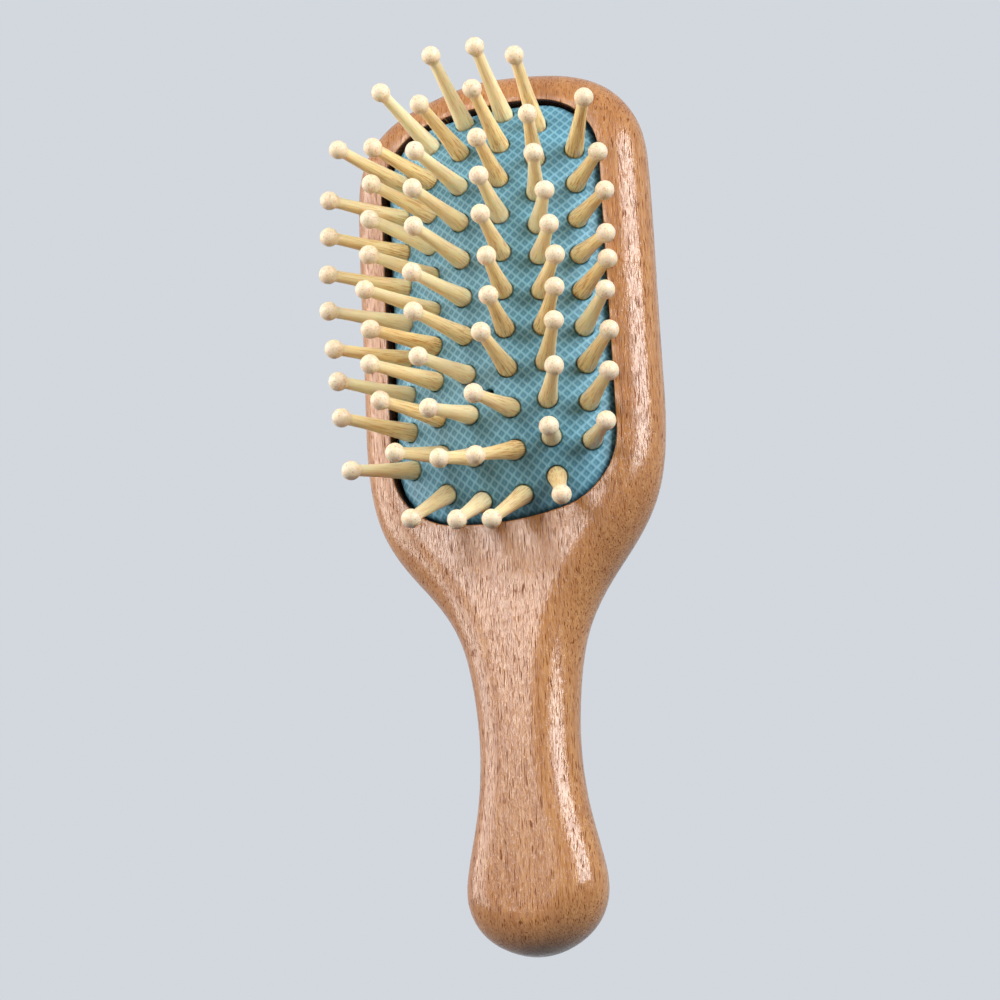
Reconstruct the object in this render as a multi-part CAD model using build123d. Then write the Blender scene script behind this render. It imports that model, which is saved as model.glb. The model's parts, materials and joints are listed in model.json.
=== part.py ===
"""Small wooden paddle brush lying on its back, pins up.

+X is across the head, +Y runs from the handle to the head, +Z is up out of the pad.
The origin is under the middle of the brush, on the flat back. All sizes are in millimetres.
"""
from build123d import *
import math
import os

# Wooden body: one slab with a plan outline and large edge rounds.
LENGTH = 180.0
THICKNESS = 15.0
EDGE_ROUND = 7.0

# Pocket routed into the face of the head, with a groove for the cushion's flange.
PAD_CENTRE_Y = 37.15
POCKET_HALF_WIDTH = 23.3
POCKET_HALF_LENGTH = 44.4
POCKET_END_RISE = 4.5
POCKET_CORNER = 14.5
POCKET_FLOOR = 5.5
POCKET_LIP_ROUND = 0.4
GROOVE_BOTTOM = 8.0
GROOVE_HEIGHT = 1.8
GROOVE_DEPTH = 1.5

# Rubber air cushion: a thin dome with a skirt and a flange.
CUSHION_GAP = 0.5
RUBBER = 1.6
SKIRT = 1.5
FLANGE_PLAY = 0.2
DOME_EDGE_Z = 12.8
DOME_RISE = 9.3
DOME_HALF_WIDTH = 22.9
DOME_HALF_LENGTH = 45.0
DOME_MARGIN = 1.5
DOME_COLUMNS = 17
DOME_ROWS = 25
VENT_DIAMETER = 1.8
VENT_X = 0.3
VENT_Y = PAD_CENTRE_Y - 20.4

# Wooden pins: foot under the rubber, tapered shaft, ball tip.
BALL_DIAMETER = 3.75
BALL_HEIGHT = 17.9
STEM_DIAMETER = 3.85
STEM_ABOVE_RUBBER = 0.5
NECK_DIAMETER = 2.25
WAIST_DIAMETER = 2.75
FOOT_DIAMETER = 4.7
FOOT_THICKNESS = 0.8
FOOT_DEPTH = 2.4
PIN_PLAY = 0.08

# Pin field: six columns, a to f from left to right, fanned out over the dome.
# column: (distance from the middle, first row, last row, row pitch, shift along Y, lean across)
COLUMNS = {
    "outer": (18.5, 1, 9, 7.7, -0.35, 0.74),
    "middle": (11.35, 0, 10, 7.45, -0.4, 0.474),
    "inner": (4.2, 0, 10, 8.1, 0.35, 0.171),
}
COLUMN_LETTERS = {"a": ("outer", -1), "b": ("middle", -1), "c": ("inner", -1),
                  "d": ("inner", 1), "e": ("middle", 1), "f": ("outer", 1)}
MIDDLE_ROW = 5
FIELD_END = 40.3
LEAN_LOST_AT_ENDS = 0.7
LEAN_AT_ENDS = 0.55
LEAN_TO_HANDLE = 0.04
# Rows of the middle columns that sit a little nearer the handle than their even pitch.
MIDDLE_SLIP = {1: 0.9, 2: 1.2, 3: 0.8}
# Pins that stand out of line with the rest: (degrees to the right, degrees to the head end).
# A pair that shares one node goes by the middle of its two rows.
STRAYS = {"a2": (-3, -2), "a6": (4, -3), "a7": (5, 0), "a8": (3, 3), "a9": (2, -1),
          "b0": (-3, -1), "b1": (0, -4), "b2": (3, 1), "b3": (4, 2), "b4": (4, 0), "b5": (0, 2),
          "b6": (3, -2), "b8": (4, 1), "b9": (7, -3), "b10": (5, -7),
          "c3.5": (0, 4), "c5.5": (-2, 0), "c7": (-1, -3), "c8": (2, -7), "c9": (3, -3), "c10": (5, 3),
          "d0": (-2, -1), "d1": (-2, 3), "d3.5": (-1, 3), "d5.5": (1, 1), "d7": (-4, 5),
          "d8": (-10, -3), "d9": (-12, -5), "d10": (-7, 0),
          "e0": (-5, 5), "e1": (-1, -4), "e2": (-2, -1), "e3": (1, -2), "e4": (1, -3), "e5": (3, 1),
          "e6": (2, 4), "e7": (2, 7), "e8": (3, 4), "e9": (1, -3), "e10": (10, -8),
          "f1": (2, 0), "f2": (3, -8), "f3": (2, -7), "f4": (-1, -11), "f5": (-2, -2), "f6": (-4, 3),
          "f7": (-1, 2), "f8": (1, 3), "f9": (3, 3)}
# Neighbours that stand parallel and share one node.
PAIRED_ROWS = ((3, 4), (5, 6))


def body_outline():
    """Plan outline of head, neck and handle, as one smooth closed curve."""
    right_side = [
        (13.8, 88.0), (24.2, 83.1), (29.4, 75.8), (31.0, 64.0), (31.0, 44.0), (30.9, 22.0),
        (30.2, 5.0), (27.8, -4.6), (23.0, -12.8), (17.2, -20.3), (12.9, -28.0), (10.45, -38.6),
        (9.65, -51.0), (11.0, -64.0), (12.95, -73.0), (13.4, -79.0), (11.1, -84.7), (6.1, -88.6),
    ]
    left_side = [(-x, y) for x, y in reversed(right_side)]
    top = (0, LENGTH / 2)
    bottom = (0, -LENGTH / 2)
    return make_face(Spline(top, *right_side, bottom, *left_side, periodic=True))


def pocket_outline(grow=0.0):
    """Outline of the pocket: straight sides, bowed ends, round corners."""
    side = POCKET_HALF_WIDTH
    end = POCKET_HALF_LENGTH
    corner = end - POCKET_END_RISE
    top = ThreePointArc((-side, corner), (0, end), (side, corner))
    right = Line((side, corner), (side, -corner))
    bottom = ThreePointArc((side, -corner), (0, -end), (-side, -corner))
    left = Line((-side, -corner), (-side, corner))
    shape = make_face([top, right, bottom, left])
    shape = fillet(shape.vertices(), POCKET_CORNER)
    if grow:
        shape = offset(shape, grow)
    return Pos(0, PAD_CENTRE_Y, 0) * shape


def prism(outline, bottom, top):
    """Upright solid with the given outline between two heights."""
    return extrude(Pos(0, 0, bottom) * outline, top - bottom)


def dome_height(x, y, drop=0.0):
    """Height of the cushion's upper surface, or of a surface a given distance below it."""
    across = 1 - (x / DOME_HALF_WIDTH) ** 2
    along = 1 - ((y - PAD_CENTRE_Y) / DOME_HALF_LENGTH) ** 4
    return DOME_EDGE_Z + DOME_RISE * across * along - drop


def dome_surface(drop=0.0):
    """Smooth sheet through the dome, a little larger than the cushion."""
    half_x = POCKET_HALF_WIDTH + DOME_MARGIN
    half_y = POCKET_HALF_LENGTH + DOME_MARGIN
    grid = []
    for i in range(DOME_COLUMNS):
        x = half_x * (2 * i / (DOME_COLUMNS - 1) - 1)
        line = []
        for j in range(DOME_ROWS):
            y = PAD_CENTRE_Y + half_y * (2 * j / (DOME_ROWS - 1) - 1)
            line.append(Vector(x, y, dome_height(x, y, drop)))
        grid.append(line)
    return Face.make_surface_from_array_of_points(grid)


def under_dome(outline, bottom, drop=0.0):
    """Solid with the given outline from a height up to the dome."""
    block = prism(outline, bottom, THICKNESS + DOME_RISE + RUBBER)
    return split(block, bisect_by=dome_surface(drop), keep=Keep.BOTTOM)


def make_wood_body():
    slab = prism(body_outline(), 0, THICKNESS)
    slab = fillet(slab.edges().group_by(Axis.Z)[-1], EDGE_ROUND)
    slab = fillet(slab.edges().group_by(Axis.Z)[0], EDGE_ROUND)
    top_edges = slab.edges().group_by(Axis.Z)[-1]
    slab -= prism(pocket_outline(), POCKET_FLOOR, THICKNESS + POCKET_LIP_ROUND)
    lip = slab.edges().group_by(Axis.Z)[-1] - top_edges
    slab = fillet(lip, POCKET_LIP_ROUND)
    groove = prism(pocket_outline(GROOVE_DEPTH), GROOVE_BOTTOM, GROOVE_BOTTOM + GROOVE_HEIGHT)
    return slab - groove


def pin_base(letter, row):
    """Point where a pin's axis meets the cushion's upper surface."""
    kind, side = COLUMN_LETTERS[letter]
    distance, _, _, pitch, shift, _ = COLUMNS[kind]
    x = side * distance
    y = PAD_CENTRE_Y + shift + pitch * (MIDDLE_ROW - row)
    if kind == "middle":
        y -= MIDDLE_SLIP.get(row, 0)
    return Vector(x, y, dome_height(x, y))


def pin_direction(letter, row):
    """Direction in which a pin points, fanned out from the middle and bent by its own stray."""
    kind, side = COLUMN_LETTERS[letter]
    _, _, _, pitch, _, lean_across = COLUMNS[kind]
    end = pitch * (MIDDLE_ROW - row) / FIELD_END
    across = side * lean_across * (1 - LEAN_LOST_AT_ENDS * end ** 2)
    along = math.copysign(LEAN_AT_ENDS * end ** 4, end) - LEAN_TO_HANDLE
    stray_right, stray_head = STRAYS.get(f"{letter}{row}", (0, 0))
    across = math.tan(math.atan(across) + math.radians(stray_right))
    along = math.tan(math.atan(along) + math.radians(stray_head))
    return Vector(across, along, 1).normalized()


def pin_frame(letter, row, lean_row=None):
    """Local frame of a pin: origin on the cushion's surface, Z out along the pin."""
    direction = pin_direction(letter, row if lean_row is None else lean_row)
    return Plane(origin=pin_base(letter, row), x_dir=(0, 1, 0), z_dir=direction)


def pin_shape():
    """One turned pin along Z, with the cushion's surface at zero."""
    ball = BALL_DIAMETER / 2
    neck = NECK_DIAMETER / 2
    stem = STEM_DIAMETER / 2
    foot = FOOT_DIAMETER / 2
    foot_top = -FOOT_DEPTH
    foot_bottom = -FOOT_DEPTH - FOOT_THICKNESS
    neck_height = BALL_HEIGHT - math.sqrt(ball ** 2 - neck ** 2)
    waist_height = (neck_height + STEM_ABOVE_RUBBER) / 2
    profile = [
        Line((0, 0, foot_bottom), (foot, 0, foot_bottom)),
        Line((foot, 0, foot_bottom), (foot, 0, foot_top)),
        Line((foot, 0, foot_top), (stem, 0, foot_top)),
        Line((stem, 0, foot_top), (stem, 0, STEM_ABOVE_RUBBER)),
        ThreePointArc((stem, 0, STEM_ABOVE_RUBBER), (WAIST_DIAMETER / 2, 0, waist_height),
                      (neck, 0, neck_height)),
        ThreePointArc((neck, 0, neck_height), (ball, 0, BALL_HEIGHT), (0, 0, BALL_HEIGHT + ball)),
        Line((0, 0, BALL_HEIGHT + ball), (0, 0, foot_bottom)),
    ]
    return revolve(make_face(profile), Axis.Z)


def pin_nodes():
    """Every pin node's name with the frames of the pins in it."""
    nodes = {}
    for letter, (kind, _) in COLUMN_LETTERS.items():
        _, first, last, _, _, _ = COLUMNS[kind]
        paired = PAIRED_ROWS if kind == "inner" else ()
        for low, high in paired:
            lean_row = (low + high) / 2
            frames = [pin_frame(letter, row, lean_row) for row in (low, high)]
            nodes[f"pin_{letter}{low}_{letter}{high}"] = frames
        in_pairs = [row for pair in paired for row in pair]
        for row in range(first, last + 1):
            if row not in in_pairs:
                nodes[f"pin_{letter}{row}"] = [pin_frame(letter, row)]
    return nodes


def make_cushion(frames):
    """Hollow rubber dome with a hole for every pin and an air vent."""
    inset = -CUSHION_GAP
    dome = under_dome(pocket_outline(inset), GROOVE_BOTTOM)
    flange_top = GROOVE_BOTTOM + GROOVE_HEIGHT - FLANGE_PLAY
    dome += prism(pocket_outline(GROOVE_DEPTH - FLANGE_PLAY), GROOVE_BOTTOM, flange_top)
    dome -= under_dome(pocket_outline(inset - SKIRT), 0, RUBBER)
    hole = Pos(0, 0, -FOOT_DEPTH / 2) * Cylinder(STEM_DIAMETER / 2 + PIN_PLAY, 2 * FOOT_DEPTH)
    for frame in frames:
        dome -= frame * hole
    vent_top = dome_height(VENT_X, VENT_Y)
    return dome - Pos(VENT_X, VENT_Y, vent_top) * Cylinder(VENT_DIAMETER / 2, 4 * RUBBER)


def write(name, shape):
    export_step(shape, f"parts/{name}.step")


def main():
    os.makedirs("parts", exist_ok=True)
    nodes = pin_nodes()
    every_frame = [frame for frames in nodes.values() for frame in frames]
    write("wood_body", make_wood_body())
    write("cushion", make_cushion(every_frame))
    pin = pin_shape()
    for name, frames in nodes.items():
        pins = [frame * pin for frame in frames]
        write(name, pins[0] if len(pins) == 1 else Compound(children=pins))


main()
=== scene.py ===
"""Looks of the small wooden paddle brush: beech body, ribbed rubber pad and turned wooden pins.

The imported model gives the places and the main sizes. This script adds the surfaces, the
materials, the lights and the camera. Lengths are in metres.
"""
import bpy
import json
import math
import numpy as np
import random
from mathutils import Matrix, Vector, noise


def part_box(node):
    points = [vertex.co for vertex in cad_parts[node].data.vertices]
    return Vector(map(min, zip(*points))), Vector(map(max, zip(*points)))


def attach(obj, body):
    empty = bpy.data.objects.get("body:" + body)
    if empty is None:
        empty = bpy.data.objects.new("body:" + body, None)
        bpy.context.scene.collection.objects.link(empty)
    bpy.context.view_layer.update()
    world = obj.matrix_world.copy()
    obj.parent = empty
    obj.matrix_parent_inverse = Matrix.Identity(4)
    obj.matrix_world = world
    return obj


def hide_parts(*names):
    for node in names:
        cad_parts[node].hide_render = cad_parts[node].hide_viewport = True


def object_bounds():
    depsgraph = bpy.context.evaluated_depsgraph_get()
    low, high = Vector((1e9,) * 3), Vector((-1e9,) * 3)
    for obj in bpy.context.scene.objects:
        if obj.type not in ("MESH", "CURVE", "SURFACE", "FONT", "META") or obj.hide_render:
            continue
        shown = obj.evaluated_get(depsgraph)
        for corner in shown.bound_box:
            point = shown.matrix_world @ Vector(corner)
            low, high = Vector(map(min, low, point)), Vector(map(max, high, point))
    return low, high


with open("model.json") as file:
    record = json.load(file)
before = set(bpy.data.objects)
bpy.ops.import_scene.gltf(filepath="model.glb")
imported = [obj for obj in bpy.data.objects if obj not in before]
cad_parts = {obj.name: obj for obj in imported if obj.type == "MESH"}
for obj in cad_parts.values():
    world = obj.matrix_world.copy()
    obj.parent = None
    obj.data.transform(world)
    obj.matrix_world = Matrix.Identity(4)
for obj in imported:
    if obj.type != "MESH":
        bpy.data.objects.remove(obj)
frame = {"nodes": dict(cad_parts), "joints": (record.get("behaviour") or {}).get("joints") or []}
cad_low, cad_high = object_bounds()
MM = 0.001

# Rubber pad, seen from above: straight sides, bowed ends and round corners.
FLANGE_REACH = 1.8 * MM
FLANGE_WIDTH = 1.3 * MM
PAD_END_RADIUS = 62.07 * MM
PAD_CORNER = 14.0 * MM
PAD_EDGE_ROUND = 1.0 * MM
DOME_EDGE_Z = 12.8 * MM
DOME_HALF_WIDTH = 22.9 * MM
DOME_HALF_LENGTH = 45.0 * MM
RUBBER = 1.6 * MM
SKIRT = 1.5 * MM
FLANGE_TOP = 9.6 * MM
# From the pad's outline to the pocket's wall, with the start of the lip's round.
POCKET_GAP = 0.65 * MM
POCKET_FLOOR = 5.5 * MM

# Raised lattice on the rubber: narrow ridges at 45 degrees to the brush.
LATTICE_PITCH = 1.4 * MM
# One pitch of it: (fraction of the pitch, height of the ridge, height of the stud in the cell).
LATTICE_SAMPLES = ((0.0, 1.0, 0.0), (0.26, 0.0, 0.0), (0.5, 0.0, 0.45), (0.74, 0.0, 0.0))
LATTICE_HEIGHT = 0.14 * MM
SNAP = 0.12 * MM
HOLE_RADIUS = 2.04 * MM
HOLE_LIP = 0.06 * MM
HOLE_SLANT_REACH = 1.5 * MM
VENT_RADIUS = 0.9 * MM
VENT_X = 0.3 * MM
VENT_BELOW_CENTRE = 20.4 * MM

# Turned pin: foot under the rubber, tapered shaft, ball tip.
BALL_RADIUS = 1.875 * MM
BALL_HEIGHT = 17.9 * MM
NECK_RADIUS = 1.125 * MM
WAIST_RADIUS = 1.375 * MM
STEM_RADIUS = 1.925 * MM
STEM_TOP = 0.5 * MM
FOOT_RADIUS = 2.35 * MM
FOOT_TOP = -2.4 * MM
FOOT_BOTTOM = -3.2 * MM
BLEND_RADIUS = 1.0 * MM
SHAFT_RINGS = 16
BLEND_RINGS = 6
BALL_RINGS = 14
PIN_SEGMENTS = 48
FIBRE_DEPTH = 0.05 * MM
FIBRE_REACH = 9.0 * MM

GROOVES_ROUND = 4.2
GROOVE_WAVE = 5 * MM
UNEVEN_BALL = 0.02
FOOT_EDGE = 0.15 * MM
FOOT_TOP_EDGE = 0.1 * MM
STEM_PLAY = 0.13 * MM

# Colours, as linear red, green, blue and alpha.
BEECH_LOW = (0.50, 0.216, 0.066, 1)
BEECH_HIGH = (0.60, 0.280, 0.088, 1)
BEECH_STREAK = (0.76, 0.62, 0.46, 1)
BEECH_FINE_GRAIN = (0.72, 0.57, 0.42, 1)
BEECH_RAY = (0.40, 0.24, 0.14, 1)
BEECH_PORE = (0.58, 0.42, 0.32, 1)
# Painted shade: colour that darkens the pocket's walls and floor, where shade falls in the recess.
POCKET_PAINTED_SHADE = (0.16, 0.12, 0.11, 1)
CELL_LOW = (0.055, 0.190, 0.260, 1)
CELL_HIGH = (0.080, 0.240, 0.320, 1)
# Painted highlight: paler colour for the lattice's raised ridges, where they catch the light.
RIDGE_HIGHLIGHT_LOW = (0.20, 0.43, 0.53, 1)
RIDGE_HIGHLIGHT_HIGH = (0.26, 0.50, 0.60, 1)
RUBBER_SPECKLE = (0.75, 0.8, 0.82, 1)
PIN_PALE = (0.98, 0.84, 0.54, 1)
PIN_GOLDEN = (0.98, 0.74, 0.37, 1)
PIN_FIBRE = (0.64, 0.42, 0.20, 1)
PIN_WIDE_FIBRE = (0.93, 0.82, 0.62, 1)
PIN_BALL = (0.92, 0.75, 0.56, 1)
PIN_SPOT = (0.76, 0.52, 0.34, 1)
BACKDROP_COLOUR = (0.65, 0.685, 0.73, 1)
WORLD_COLOUR = (0.82, 0.88, 0.95, 1)
WORLD_STRENGTH = 0.07

# Depth of each material's bump, and the share of the grain's waves that show in depth.
BEECH_BUMP = 0.06 * MM
RUBBER_BUMP = 0.03 * MM
PIN_BUMP = 0.05 * MM
PIN_GLOW = 1.2 * MM
GRAIN_IN_DEPTH = 0.55

# Lamps: name, place, width and height, watts and colour.
LAMPS = (("key", (-0.32, 0.33, 0.86), (0.36, 0.36), 3.4, (1, 1, 1)),
         ("side", (0.80, 0.32, 0.38), (0.58, 0.74), 12.5, (0.90, 0.95, 1.0)),
         ("left", (-0.84, 0.26, 0.36), (0.80, 0.90), 10.0, (1, 1, 1)))

# Camera, fitted so that the brush stands as in the photograph.
CAMERA_PLACE = (0.1605, -0.1643, 0.4622)
CAMERA_TURN = (17.75, 20.75, -2.88)
CAMERA_LENS = 93.6
SENSOR_WIDTH = 36.0
FLOOR_DEPTH = 0.5
BACKDROP_RADIUS = 4.0
BACKDROP_SIDES = 64
# Radius and height of each ring of the backdrop, as shares of its radius.
BACKDROP_PROFILE = ((0.0, 0.0), (0.35, 0.0), (0.7, 0.0), (0.86, 0.05), (0.96, 0.16), (1.0, 0.32),
                    (0.98, 0.6), (0.88, 0.85), (0.66, 1.05), (0.36, 1.16), (0.0, 1.2))


# Mesh helpers

def make_object(name, points, faces):
    """New smooth-shaded mesh object."""
    mesh = bpy.data.meshes.new(name)
    mesh.from_pydata([tuple(p) for p in points], [], faces)
    mesh.update()
    mesh.polygons.foreach_set("use_smooth", [True] * len(mesh.polygons))
    piece = bpy.data.objects.new(name, mesh)
    bpy.context.scene.collection.objects.link(piece)
    return piece


def add_attribute(piece, name, kind, values):
    """Stores one number or vector per vertex under a name that a material can read."""
    layer = piece.data.attributes.new(name, kind, "POINT")
    field = "vector" if kind == "FLOAT_VECTOR" else "value"
    layer.data.foreach_set(field, np.asarray(values, np.float32).ravel())


def unit(v):
    """Vectors of length 1 in the given directions."""
    return v / np.linalg.norm(v, axis=-1, keepdims=True)


# Pins: where they stand, and their shape

class PinPlace:
    """One pin: the point where its axis meets the rubber, its direction and its node."""

    def __init__(self, node, number, base, direction):
        self.node = node
        self.name = f"{node}_wood" if number is None else f"{node}_wood_{number}"
        self.base = base
        self.direction = direction


def node_points(node):
    """Vertices of a CAD node as an array."""
    return np.array([v.co for v in frame["nodes"][node].data.vertices])


def pin_places():
    """Every pin's place, read from its CAD node and its sliding joint. A node such as
    pin_c3_c4 holds two pins, and the first is the one nearer the head's end."""
    places = []
    for joint in frame["joints"]:
        node = joint["child"]
        direction = unit(np.array(joint["axis"], float))
        points = node_points(node)
        low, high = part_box(node)
        halves = [points]
        if node.count("_") == 2:
            middle = (low.y + high.y) / 2
            halves = [points[points[:, 1] > middle], points[points[:, 1] <= middle]]
        for number, half in enumerate(halves, 1):
            tip = half[np.argmax(half @ direction)]
            base = tip - direction * (BALL_HEIGHT + BALL_RADIUS)
            places.append(PinPlace(node, number if len(halves) > 1 else None, base, direction))
    return places


def arc_radius(height):
    """Radius of the concave shaft at a height, on the arc through stem, waist and neck."""
    neck_height = BALL_HEIGHT - math.sqrt(BALL_RADIUS ** 2 - NECK_RADIUS ** 2)
    t = (height - STEM_TOP) / (neck_height - STEM_TOP)
    straight = STEM_RADIUS + (NECK_RADIUS - STEM_RADIUS) * t
    sag = (STEM_RADIUS + NECK_RADIUS) / 2 - WAIST_RADIUS
    return straight - 4 * sag * t * (1 - t)


def neck_blend():
    """Hollow curve from shaft to ball: height and radius of its centre, and its turn."""
    centre_radius = arc_radius(BALL_HEIGHT - BALL_RADIUS) + BLEND_RADIUS
    reach = BALL_RADIUS + BLEND_RADIUS
    rise = math.sqrt(reach ** 2 - centre_radius ** 2)
    return BALL_HEIGHT - rise, centre_radius, math.asin(rise / reach)


def pin_profile():
    """Rings of a pin from foot to tip, as (height, radius)."""
    rings = [(FOOT_BOTTOM, FOOT_RADIUS - FOOT_EDGE), (FOOT_BOTTOM + FOOT_EDGE, FOOT_RADIUS),
             (FOOT_TOP - FOOT_TOP_EDGE, FOOT_RADIUS), (FOOT_TOP, FOOT_RADIUS - FOOT_TOP_EDGE),
             (FOOT_TOP, STEM_RADIUS - STEM_PLAY), (-0.6 * MM, STEM_RADIUS - STEM_PLAY),
             (0.0, STEM_RADIUS - 0.09 * MM), (0.25 * MM, STEM_RADIUS - 0.03 * MM)]
    blend_height, blend_radius, turn = neck_blend()
    rings += [(h, arc_radius(h)) for h in np.linspace(STEM_TOP, blend_height, SHAFT_RINGS)[:-1]]
    rings += [(blend_height + BLEND_RADIUS * math.sin(a), blend_radius - BLEND_RADIUS * math.cos(a))
              for a in np.linspace(0, turn, BLEND_RINGS)]
    rings += [(BALL_HEIGHT - BALL_RADIUS * math.cos(a), BALL_RADIUS * math.sin(a))
              for a in np.linspace(math.pi / 2 - turn, math.pi, BALL_RINGS)[1:-1]]
    return rings


def make_pin(place, seed):
    """Lathed pin with shallow fibre grooves near its base and a slightly uneven ball."""
    chance = random.Random(seed)
    turn = chance.uniform(0, 2 * math.pi)
    offset = np.array([chance.uniform(-1, 1) for _ in range(3)])
    tone = chance.random()
    squeeze = chance.uniform(-UNEVEN_BALL, UNEVEN_BALL)
    rings = pin_profile()
    local = [(0.0, 0.0, FOOT_BOTTOM)]
    for height, radius in rings:
        reach = max(0.0, 1 - max(height, 0) / FIBRE_REACH) if height >= 0 else 0.0
        for k in range(PIN_SEGMENTS):
            angle = 2 * math.pi * k / PIN_SEGMENTS
            x = math.cos(angle + turn)
            y = math.sin(angle + turn)
            wave = Vector((x * GROOVES_ROUND, y * GROOVES_ROUND, height / GROOVE_WAVE))
            groove = noise.noise(wave + Vector(offset * 50))
            r = radius - FIBRE_DEPTH * reach * abs(groove) * 2
            if height > BALL_HEIGHT - BALL_RADIUS:
                r *= 1 + squeeze * math.cos(2 * angle)
            local.append((r * math.cos(angle), r * math.sin(angle), height))
    local.append((0.0, 0.0, BALL_HEIGHT + BALL_RADIUS))
    local = np.array(local)
    n = PIN_SEGMENTS
    faces = [(0, 1 + (k + 1) % n, 1 + k) for k in range(n)]
    for ring in range(len(rings) - 1):
        a = 1 + ring * n
        b = a + n
        faces += [(a + k, a + (k + 1) % n, b + (k + 1) % n, b + k) for k in range(n)]
    last = 1 + (len(rings) - 1) * n
    faces += [(last + k, last + (k + 1) % n, len(local) - 1) for k in range(n)]
    turned = Vector(place.direction).to_track_quat("Z", "Y").to_matrix()
    points = local @ np.array(turned).T + place.base
    piece = make_object(place.name, points, faces)
    add_attribute(piece, "grain", "FLOAT_VECTOR", local + offset)
    add_attribute(piece, "tone", "FLOAT", [tone] * len(points))
    add_attribute(piece, "height", "FLOAT", local[:, 2] / BALL_HEIGHT)
    return piece


# Pad: a grid along the lattice, trimmed to the outline and round every pin

def pad_frame():
    """Pad centre, half width, half length and crown height, from the CAD node's box."""
    low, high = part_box("cushion")
    centre = np.array(((low.x + high.x) / 2, (low.y + high.y) / 2))
    return (centre, (high.x - low.x) / 2 - FLANGE_REACH, (high.y - low.y) / 2 - FLANGE_REACH,
            high.z - DOME_EDGE_Z)


PAD_CENTRE, PAD_HALF_WIDTH, PAD_HALF_LENGTH, DOME_RISE = pad_frame()


def dome_height(x, y):
    """Height of the rubber's smooth upper surface."""
    across = 1 - ((x - PAD_CENTRE[0]) / DOME_HALF_WIDTH) ** 2
    along = 1 - ((y - PAD_CENTRE[1]) / DOME_HALF_LENGTH) ** 4
    return DOME_EDGE_Z + DOME_RISE * across * along


def outline_centres():
    """Centres of the bowed end and of the round corner, in the pad's upper right quarter."""
    end_y = PAD_HALF_LENGTH - PAD_END_RADIUS
    corner_x = PAD_HALF_WIDTH - PAD_CORNER
    reach = PAD_END_RADIUS - PAD_CORNER
    corner_y = end_y + math.sqrt(reach ** 2 - corner_x ** 2)
    return np.array((0.0, end_y)), np.array((corner_x, corner_y))


def outline_inset(xy):
    """How far inside the outline each point lies, and the outward direction there."""
    local = xy - PAD_CENTRE
    sign = np.where(local < 0, -1.0, 1.0)
    p = np.abs(local)
    end_centre, corner = outline_centres()
    from_end = p - end_centre
    from_corner = p - corner
    spoke = corner - end_centre
    beyond = spoke[0] * from_end[:, 1] - spoke[1] * from_end[:, 0] < 0
    in_corner = beyond & (from_corner[:, 1] > 0)
    end_inset = PAD_END_RADIUS - np.linalg.norm(from_end, axis=1)
    side_inset = PAD_HALF_WIDTH - p[:, 0]
    corner_inset = PAD_CORNER - np.linalg.norm(from_corner, axis=1)
    inset = np.where(in_corner, corner_inset, np.minimum(end_inset, side_inset))
    outward = np.where((end_inset < side_inset)[:, None], unit(from_end), np.array((1.0, 0.0)))
    outward = np.where(in_corner[:, None], unit(from_corner), outward)
    return inset, outward * sign


def on_surface(xy):
    """Points of the rubber's upper surface at the given places."""
    return np.column_stack((xy, dome_height(xy[:, 0], xy[:, 1])))


def hole_frame(points, base, direction):
    """Nearest points on a hole's axis and the unit vectors from there to the given points."""
    on_axis = base + np.outer((points - base) @ direction, direction)
    return on_axis, points - on_axis


def lattice_grid():
    """Grid lines at 45 degrees with four samples a pitch: places, ridge and stud heights."""
    reach = (PAD_HALF_WIDTH + PAD_HALF_LENGTH) / math.sqrt(2) + LATTICE_PITCH
    count = math.ceil(reach / LATTICE_PITCH)
    samples = []
    for k in range(-count, count + 1):
        for shift, ridge, stud in LATTICE_SAMPLES:
            samples.append(((k + shift) * LATTICE_PITCH, ridge, stud))
    return np.array(samples).T


def pad_holes(places):
    """Axis and radius of every hole in the rubber: one for each pin, and the air vent."""
    holes = [(place.base, place.direction, HOLE_RADIUS) for place in places]
    vent = np.array((PAD_CENTRE[0] + VENT_X, PAD_CENTRE[1] - VENT_BELOW_CENTRE, DOME_EDGE_Z))
    holes.append((vent, np.array((0.0, 0.0, 1.0)), VENT_RADIUS))
    return holes


def trimmed_grid(holes):
    """Grid points moved onto the outline and the hole rims, with what each one lies on.

    Returns points, relief (1 on a ridge), owner (-1 free, -2 outline, or a hole's number)
    and faces."""
    steps, ridges, studs = lattice_grid()
    n = len(steps)
    u, v = np.meshgrid(steps, steps, indexing="ij")
    xy = np.column_stack(((u - v).ravel(), (u + v).ravel())) / math.sqrt(2) + PAD_CENTRE
    relief = (np.maximum.outer(ridges, ridges) + np.minimum.outer(studs, studs)).ravel()
    inset, outward = outline_inset(xy)
    owner = np.full(n * n, -1)
    outside = inset < SNAP
    owner[outside] = -2
    points = on_surface(xy)
    for number, (base, direction, radius) in enumerate(holes):
        rim = radius + HOLE_LIP
        near = np.flatnonzero(np.linalg.norm(xy - base[:2], axis=1) < 3 * rim)
        _, spoke = hole_frame(points[near], base, direction)
        caught = near[np.linalg.norm(spoke, axis=1) < rim + SNAP]
        owner[caught] = number
        for _ in range(4):
            on_axis, spoke = hole_frame(points[caught], base, direction)
            moved = on_axis + unit(spoke) * rim
            points[caught] = on_surface(moved[:, :2])
    edge = xy[outside] + outward[outside] * inset[outside][:, None]
    points[outside] = on_surface(edge)
    faces = []
    free = (owner == -1).reshape(n, n)
    wanted = free[:-1, :-1] | free[1:, :-1] | free[:-1, 1:] | free[1:, 1:]
    for i, j in np.argwhere(wanted):
        a = i * n + j
        faces.append((a, a + n, a + n + 1, a + 1))
    relief[owner != -1] = 0.0
    return points, relief, owner, faces


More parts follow.
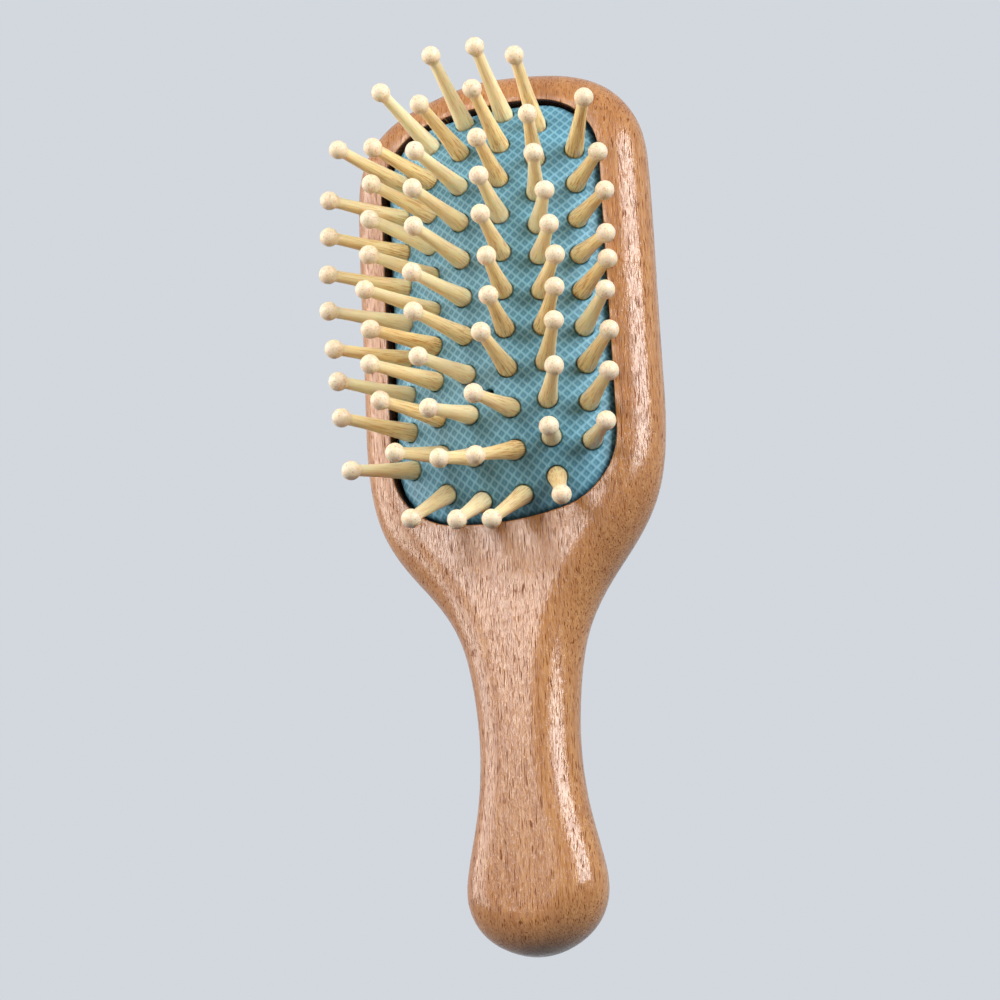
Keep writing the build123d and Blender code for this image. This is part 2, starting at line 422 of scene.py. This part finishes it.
def used_only(points, relief, owner, faces):
    """Drops the grid points that no face uses."""
    used = np.unique(np.array(faces))
    order = np.full(len(points), -1)
    order[used] = np.arange(len(used))
    renumbered = [tuple(order[list(face)]) for face in faces]
    return points[used], relief[used], owner[used], renumbered


def open_edges(faces):
    """Edges that belong to one face only, in that face's direction."""
    once = {}
    for face in faces:
        for k in range(len(face)):
            a, b = face[k], face[(k + 1) % len(face)]
            if (b, a) in once:
                del once[(b, a)]
            else:
                once[(a, b)] = True
    return list(once)


def round_the_edge(points, relief):
    """Rolls the surface down over its last millimetre and adds the lattice's relief."""
    inset, _ = outline_inset(points[:, :2])
    near = np.clip(PAD_EDGE_ROUND - inset, 0, PAD_EDGE_ROUND)
    roll = PAD_EDGE_ROUND - np.sqrt(PAD_EDGE_ROUND ** 2 - near ** 2)
    fade = np.clip(inset / PAD_EDGE_ROUND, 0, 1)
    top = points.copy()
    top[:, 2] += LATTICE_HEIGHT * relief * fade - roll
    return top


def ring_points(points, owner, holes, outline_step, hole_step):
    """The edge points moved one step: outline_step is (outward, height), and hole_step is
    (gap to the hole's wall, depth along the hole)."""
    moved = points.copy()
    outward, height = outline_step
    at_edge = owner == -2
    _, away = outline_inset(points[at_edge][:, :2])
    moved[at_edge, :2] = points[at_edge][:, :2] + away * outward
    moved[at_edge, 2] = height
    gap, depth = hole_step
    for number, (base, direction, radius) in enumerate(holes):
        mine = owner == number
        on_axis, spoke = hole_frame(points[mine], base, direction)
        moved[mine] = on_axis - direction * depth + unit(spoke) * (radius + gap)
    return moved


def underside(points, owner, holes, skirt_bottom):
    """The surface moved down by the rubber's thickness: straight down, but along the hole's
    own direction close to a hole."""
    under = points - np.array((0.0, 0.0, RUBBER))
    for base, direction, radius in holes:
        _, spoke = hole_frame(points, base, direction)
        gap = np.linalg.norm(spoke, axis=1) - radius
        share = np.clip(1 - gap / HOLE_SLANT_REACH, 0, 1)[:, None]
        under += share * RUBBER * (np.array((0.0, 0.0, 1.0)) - direction)
    inset, _ = outline_inset(points[:, :2])
    under[inset < SKIRT, 2] = skirt_bottom
    mine = owner >= 0
    under[mine] = ring_points(points, owner, holes, (0.0, skirt_bottom), (0.0, RUBBER))[mine]
    return under


def joined_layers(layers, faces):
    """Closed form: the first layer's faces, walls through the edge points of the layers
    between, and the last layer's faces turned over. Returns its points and faces."""
    edges = open_edges(faces)
    rim = sorted({k for edge in edges for k in edge})
    count = len(layers[0])
    points = [layers[0]]
    all_faces = list(faces)
    index = {k: k for k in range(count)}
    start = count
    for layer in layers[1:-1]:
        following = {k: start + i for i, k in enumerate(rim)}
        points.append(layer[rim])
        all_faces += [(index[b], index[a], following[a], following[b]) for a, b in edges]
        index = following
        start += len(rim)
    points.append(layers[-1])
    all_faces += [(index[b], index[a], start + a, start + b) for a, b in edges]
    all_faces += [tuple(start + k for k in reversed(face)) for face in faces]
    return np.concatenate(points), all_faces


def make_pad(places):
    """Closed hollow rubber pad: ribbed dome, rolled edge, holes, skirt, flange and underside."""
    holes = pad_holes(places)
    points, relief, owner, faces = used_only(*trimmed_grid(holes))
    layers = [round_the_edge(points, relief)]
    low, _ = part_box("cushion")
    skirt_bottom = low.z
    steps = [((0.0, FLANGE_TOP + 2 * MM), (0.02 * MM, 0.03 * MM)),
             ((0.0, FLANGE_TOP), (0.0, 0.1 * MM)),
             ((FLANGE_WIDTH, FLANGE_TOP), (0.0, 0.6 * MM)),
             ((FLANGE_WIDTH, skirt_bottom), (0.0, 1.0 * MM))]
    for outline_step, hole_step in steps:
        layers.append(ring_points(points, owner, holes, outline_step, hole_step))
    layers.append(underside(points, owner, holes, skirt_bottom))
    points, all_faces = joined_layers(layers, faces)
    piece = make_object("pad_rubber_dome", points, all_faces)
    # Painted highlight: the ridge and stud heights are stored so that the rubber's colour is paler
    # on the raised parts.
    ridge_highlight = np.zeros(len(points))
    ridge_highlight[:len(relief)] = relief
    add_attribute(piece, "ridge", "FLOAT", ridge_highlight)
    return piece


# Materials

class Nodes:
    """Short way to build a material's nodes."""

    def __init__(self, name):
        self.material = bpy.data.materials.new(name)
        self.material.use_nodes = True
        self.tree = self.material.node_tree
        self.shader = self.tree.nodes["Principled BSDF"]

    def add(self, kind, **inputs):
        """New node; keyword names are its socket names with underscores for spaces."""
        node = self.tree.nodes.new(kind)
        for key, value in inputs.items():
            self.feed(node.inputs[key.replace("_", " ")], value)
        return node

    def feed(self, socket, value):
        """Links a socket to another one, or sets it to a constant."""
        if isinstance(value, bpy.types.NodeSocket):
            self.tree.links.new(value, socket)
        else:
            socket.default_value = value

    def math(self, operation, a, b=0.5):
        """Result of one arithmetic step on a and b."""
        node = self.tree.nodes.new("ShaderNodeMath")
        node.operation = operation
        self.feed(node.inputs[0], a)
        self.feed(node.inputs[1], b)
        return node.outputs[0]

    def length(self, a, b):
        """Length of the vector (a, b)."""
        squares = self.math("ADD", self.math("MULTIPLY", a, a), self.math("MULTIPLY", b, b))
        return self.math("SQRT", squares)

    def scaled(self, vector, scale, location=(0, 0, 0)):
        """The vector multiplied by a scale and moved."""
        node = self.add("ShaderNodeMapping", Vector=vector, Scale=scale, Location=location)
        return node.outputs["Vector"]

    def noise(self, vector, detail=2.0, roughness=0.5, distortion=0.0):
        """Soft random pattern between 0 and 1."""
        node = self.add("ShaderNodeTexNoise", Vector=vector, Scale=1.0, Detail=detail,
                        Roughness=roughness, Distortion=distortion)
        return node.outputs["Fac"]

    def steps(self, value, low, high, start=0.0, end=1.0):
        """Straight-line change from start to end while value goes from low to high."""
        node = self.add("ShaderNodeMapRange", Value=value)
        node.inputs["From Min"].default_value = low
        node.inputs["From Max"].default_value = high
        node.inputs["To Min"].default_value = start
        node.inputs["To Max"].default_value = end
        return node.outputs["Result"]

    def mix(self, factor, a, b):
        """Colour between a and b."""
        node = self.tree.nodes.new("ShaderNodeMix")
        node.data_type = "RGBA"
        self.feed(node.inputs["Factor"], factor)
        self.feed(node.inputs[6], a)
        self.feed(node.inputs[7], b)
        return node.outputs[2]

    def darken(self, factor, colour, by):
        """Colour multiplied by another one, as far as the factor says."""
        node = self.tree.nodes.new("ShaderNodeMix")
        node.data_type = "RGBA"
        node.blend_type = "MULTIPLY"
        self.feed(node.inputs["Factor"], factor)
        self.feed(node.inputs[6], colour)
        self.feed(node.inputs[7], by)
        return node.outputs[2]

    def bump(self, height, distance, strength=1.0):
        """Normal of a surface raised by a height between 0 and 1 times the distance."""
        node = self.add("ShaderNodeBump", Height=height, Distance=distance, Strength=strength)
        return node.outputs["Normal"]

    def attribute(self, name, output="Fac"):
        """Value that the mesh stores under a name."""
        node = self.tree.nodes.new("ShaderNodeAttribute")
        node.attribute_name = name
        return node.outputs[output]

    def finish(self, **inputs):
        """Feeds the shader's sockets and returns the material."""
        for key, value in inputs.items():
            self.feed(self.shader.inputs[key.replace("_", " ")], value)
        return self.material


def per_mm(across, along):
    """Noise scale for waves per millimetre across and along the grain; fewer in depth, so
    that the grain still looks long where the surface slopes."""
    return (across / MM, along / MM, GRAIN_IN_DEPTH * across / MM)


def pocket_shade_mask(n, place):
    """1 on the walls and floor of the pocket, where shade is painted into the wood's colour, and 0
    elsewhere.
    """
    axes = n.tree.nodes.new("ShaderNodeSeparateXYZ")
    n.feed(axes.inputs[0], place)
    x, y, z = axes.outputs
    across = n.math("ABSOLUTE", n.math("SUBTRACT", x, float(PAD_CENTRE[0])))
    along = n.math("ABSOLUTE", n.math("SUBTRACT", y, float(PAD_CENTRE[1])))
    end, corner = outline_centres()
    past_x = n.math("MAXIMUM", n.math("SUBTRACT", across, float(corner[0])), 0.0)
    past_y = n.math("MAXIMUM", n.math("SUBTRACT", along, float(corner[1])), 0.0)
    in_corner = n.math("LESS_THAN", n.length(past_x, past_y), PAD_CORNER + POCKET_GAP)
    from_end = n.length(across, n.math("SUBTRACT", along, float(end[1])))
    in_end = n.math("LESS_THAN", from_end, PAD_END_RADIUS + POCKET_GAP)
    middle = n.math("LESS_THAN", across, float(corner[0]))
    inside = n.math("MAXIMUM", in_corner, n.math("MULTIPLY", in_end, middle))
    return n.math("MULTIPLY", inside, n.math("GREATER_THAN", z, POCKET_FLOOR / 2))


def beech_material():
    """Lacquered beech: orange tan, fine lengthwise grain, dark short rays and open pores."""
    n = Nodes("beech_wood")
    place = n.tree.nodes.new("ShaderNodeTexCoord").outputs["Object"]
    bands = n.noise(n.scaled(place, per_mm(0.10, 0.010)), 3.0, 0.55, 0.6)
    streaks = n.noise(n.scaled(place, per_mm(1.3, 0.045)), 4.0, 0.6, 0.2)
    fine = n.noise(n.scaled(place, per_mm(4.6, 0.35)), 3.0, 0.65)
    rays = n.noise(n.scaled(place, per_mm(6.4, 0.38), (3.1, 0.7, 1.9)), 0.0, 0.5)
    pores = n.noise(n.scaled(place, per_mm(7.0, 0.9), (0.4, 5.0, 0.0)), 1.0, 0.5)
    grit = n.noise(n.scaled(place, per_mm(1.7, 0.6), (2.0, 0.3, 4.0)), 2.0, 0.6)
    base = n.mix(n.steps(bands, 0.35, 0.65), BEECH_LOW, BEECH_HIGH)
    base = n.darken(n.steps(streaks, 0.40, 0.68, 0.0, 0.8), base, BEECH_STREAK)
    base = n.darken(n.steps(fine, 0.42, 0.68, 0.0, 0.95), base, BEECH_FINE_GRAIN)
    ray = n.steps(rays, 0.66, 0.72)
    base = n.darken(n.math("MULTIPLY", ray, 0.9), base, BEECH_RAY)
    # Painted shade: the pocket's walls and floor are darkened where shade falls in the recess.
    base = n.darken(pocket_shade_mask(n, place), base, POCKET_PAINTED_SHADE)
    pore = n.steps(pores, 0.58, 0.70)
    base = n.darken(n.math("MULTIPLY", pore, 0.6), base, BEECH_PORE)
    dips = n.math("ADD", n.math("MULTIPLY", pore, -0.5), n.math("MULTIPLY", fine, 0.5))
    dips = n.math("ADD", dips, n.math("MULTIPLY", ray, -0.4))
    normal = n.bump(n.math("ADD", dips, grit), BEECH_BUMP)
    rough = n.math("ADD", n.steps(fine, 0.3, 0.7, 0.12, 0.20), n.math("MULTIPLY", pore, 0.3))
    shine = n.math("MULTIPLY", n.steps(fine, 0.35, 0.65, 0.85, 0.5),
                   n.steps(rays, 0.64, 0.69, 1.0, 0.2))
    return n.finish(Base_Color=base, Roughness=rough, Normal=normal, Specular_IOR_Level=shine)


def rubber_material():
    """Matt teal rubber with a painted highlight: paler on the raised ridges and studs of the
    lattice. A little dust.
    """
    n = Nodes("pad_rubber")
    place = n.tree.nodes.new("ShaderNodeTexCoord").outputs["Object"]
    ridge = n.attribute("ridge")
    clouds = n.noise(n.scaled(place, per_mm(0.09, 0.09)), 3.0, 0.6)
    speckle = n.noise(n.scaled(place, per_mm(7.0, 7.0)), 2.0, 0.6)
    cell = n.mix(n.steps(clouds, 0.3, 0.7), CELL_LOW, CELL_HIGH)
    # Painted highlight: the raised ridges and studs are mixed towards this paler colour.
    line = n.mix(n.steps(clouds, 0.3, 0.7), RIDGE_HIGHLIGHT_LOW, RIDGE_HIGHLIGHT_HIGH)
    broken_highlight = n.math("MULTIPLY", ridge, n.steps(speckle, 0.25, 0.6, 0.7, 1.0))
    colour = n.mix(broken_highlight, cell, line)
    colour = n.darken(n.steps(speckle, 0.55, 0.8, 0.0, 0.5), colour, RUBBER_SPECKLE)
    normal = n.bump(speckle, RUBBER_BUMP, 0.5)
    rough = n.steps(speckle, 0.3, 0.7, 0.38, 0.52)
    return n.finish(Base_Color=colour, Roughness=rough, Normal=normal, Specular_IOR_Level=0.35)


def pin_material():
    """Pale golden turned wood: browner fibres along the pin, end grain and flecks on the tip."""
    n = Nodes("pin_wood")
    grain = n.attribute("grain", "Vector")
    tone = n.attribute("tone")
    height = n.attribute("height")
    fibre = n.noise(n.scaled(grain, (4.0 / MM, 4.0 / MM, 0.07 / MM)), 3.0, 0.6)
    wide = n.noise(n.scaled(grain, (1.3 / MM, 1.3 / MM, 0.05 / MM)), 2.0, 0.5)
    fleck = n.noise(n.scaled(grain, (3.0 / MM, 3.0 / MM, 2.2 / MM)), 3.0, 0.6)
    colour = n.mix(tone, PIN_PALE, PIN_GOLDEN)
    low = n.steps(height, 0.0, 1.0, 1.0, 0.45)
    strong = n.math("MULTIPLY", low, n.steps(tone, 0.0, 1.0, 0.35, 1.0))
    colour = n.darken(n.math("MULTIPLY", n.steps(fibre, 0.50, 0.62), strong), colour, PIN_FIBRE)
    colour = n.darken(n.math("MULTIPLY", n.steps(wide, 0.48, 0.66), strong), colour,
                      PIN_WIDE_FIBRE)
    ball = n.steps(height, 0.86, 0.97)
    colour = n.mix(n.math("MULTIPLY", ball, 0.75), colour, PIN_BALL)
    spots = n.math("MULTIPLY", n.steps(fleck, 0.53, 0.66, 0.0, 0.8), ball)
    colour = n.darken(spots, colour, PIN_SPOT)
    normal = n.bump(fibre, PIN_BUMP, 0.5)
    rough = n.steps(fibre, 0.3, 0.7, 0.32, 0.46)
    return n.finish(Base_Color=colour, Roughness=rough, Normal=normal, Specular_IOR_Level=0.5,
                    Subsurface_Weight=0.6, Subsurface_Scale=PIN_GLOW,
                    Subsurface_Radius=(1.0, 0.7, 0.4))


def backdrop_material():
    """Plain pale backdrop that looks the same from every side."""
    n = Nodes("backdrop")
    return n.finish(Base_Color=(0, 0, 0, 1), Roughness=1.0, Specular_IOR_Level=0.0,
                    Emission_Color=BACKDROP_COLOUR, Emission_Strength=1.0)


def give(piece, material):
    """Makes the material the piece's only one."""
    piece.data.materials.clear()
    piece.data.materials.append(material)


# Studio

def add_area(name, place, target, size, power, colour):
    """Rectangular soft light at a place, facing a target."""
    data = bpy.data.lights.new(name, "AREA")
    data.shape = "RECTANGLE"
    data.size, data.size_y = size
    data.energy = power
    data.color = colour
    light = bpy.data.objects.new(name, data)
    light.location = place
    aim = Vector(target) - Vector(place)
    light.rotation_euler = aim.to_track_quat("-Z", "Y").to_euler()
    bpy.context.scene.collection.objects.link(light)


def add_backdrop():
    """Pale floor that curves up all round into a dome. It isn't part of the brush, and the
    lamps and the dim world shine through it."""
    points = []
    for radius, height in BACKDROP_PROFILE:
        for k in range(BACKDROP_SIDES):
            angle = 2 * math.pi * k / BACKDROP_SIDES
            points.append((BACKDROP_RADIUS * radius * math.cos(angle),
                           BACKDROP_RADIUS * radius * math.sin(angle),
                           BACKDROP_RADIUS * height - FLOOR_DEPTH))
    n = BACKDROP_SIDES
    faces = [(r * n + k, r * n + (k + 1) % n, (r + 1) * n + (k + 1) % n, (r + 1) * n + k)
             for r in range(len(BACKDROP_PROFILE) - 1) for k in range(n)]
    backdrop = make_object("studio_floor", points, faces)
    give(backdrop, backdrop_material())
    backdrop.visible_diffuse = False
    backdrop.visible_shadow = False


def add_camera():
    """The camera, as the scene's own."""
    data = bpy.data.cameras.new("camera")
    data.lens = CAMERA_LENS
    data.sensor_width = SENSOR_WIDTH
    camera = bpy.data.objects.new("camera", data)
    camera.location = CAMERA_PLACE
    camera.rotation_euler = [math.radians(a) for a in CAMERA_TURN]
    bpy.context.scene.collection.objects.link(camera)
    bpy.context.scene.camera = camera


def add_world():
    """Dim even light from all round."""
    world = bpy.data.worlds.new("studio")
    world.use_nodes = True
    background = world.node_tree.nodes["Background"]
    background.inputs["Color"].default_value = WORLD_COLOUR
    background.inputs["Strength"].default_value = WORLD_STRENGTH
    bpy.context.scene.world = world


def add_studio():
    """Backdrop, lamps and world."""
    centre = tuple((cad_low + cad_high) / 2)
    add_backdrop()
    for name, place, size, power, colour in LAMPS:
        add_area(name, place, centre, size, power, colour)
    add_world()
    bpy.context.scene.view_settings.view_transform = "Standard"


def main():
    """Gives the body its material, puts the pad and pins in place of their CAD nodes, and
    adds the camera and the studio."""
    places = pin_places()
    give(frame["nodes"]["wood_body"], beech_material())
    pad = make_pad(places)
    give(pad, rubber_material())
    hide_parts("cushion")
    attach(pad, "brush")
    wood = pin_material()
    for seed, place in enumerate(places):
        pin = make_pin(place, seed)
        give(pin, wood)
        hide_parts(place.node)
        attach(pin, place.node)
    add_camera()
    add_studio()


main()
